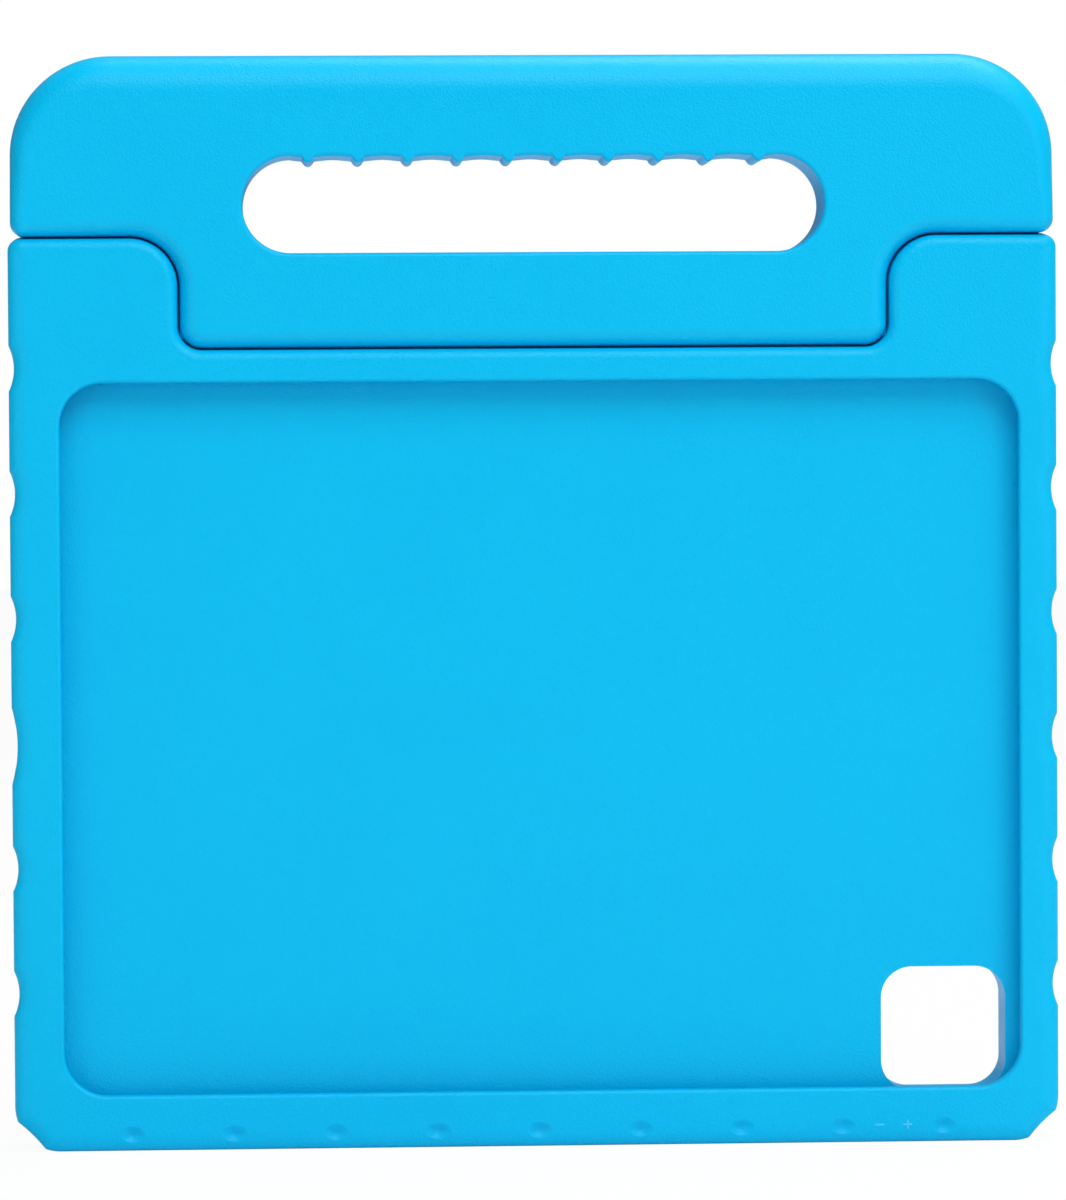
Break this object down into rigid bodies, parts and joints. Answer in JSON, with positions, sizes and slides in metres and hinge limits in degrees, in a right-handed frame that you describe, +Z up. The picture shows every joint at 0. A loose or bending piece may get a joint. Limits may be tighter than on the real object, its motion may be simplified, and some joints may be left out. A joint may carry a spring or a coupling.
{
  "type": "kids tablet case",
  "caption": "Thick soft foam case for a large tablet, with a screen window, side grip grooves and a carry handle that folds back as a stand.",
  "frame": {"origin": "middle of the flat bottom edge that the case stands on", "axes": "+X to the right as seen from the screen side, -Y out of the screen window, +Z up through the handle"},
  "size_m": [0.3, 0.026, 0.3132],
  "materials": {
    "foam": "satin moulded foam with a fine pebbled grain",
    "hinge_plastic": "satin moulded plastic"
  },
  "bodies": {
    "case": {"case_body": "foam"},
    "handle": {"carry_handle": "foam", "pivot_bolt_left": "hinge_plastic", "pivot_bolt_right": "hinge_plastic", "pivot_insert_left": "hinge_plastic", "pivot_insert_right": "hinge_plastic"}
  },
  "joints": [
    {"name": "handle_swing", "type": "hinge", "parent": "case", "child": "handle", "pos_m": [0, 0, 0.2428], "axis": [-1, 0, 0], "range_deg": [0, 105]}
  ]
}
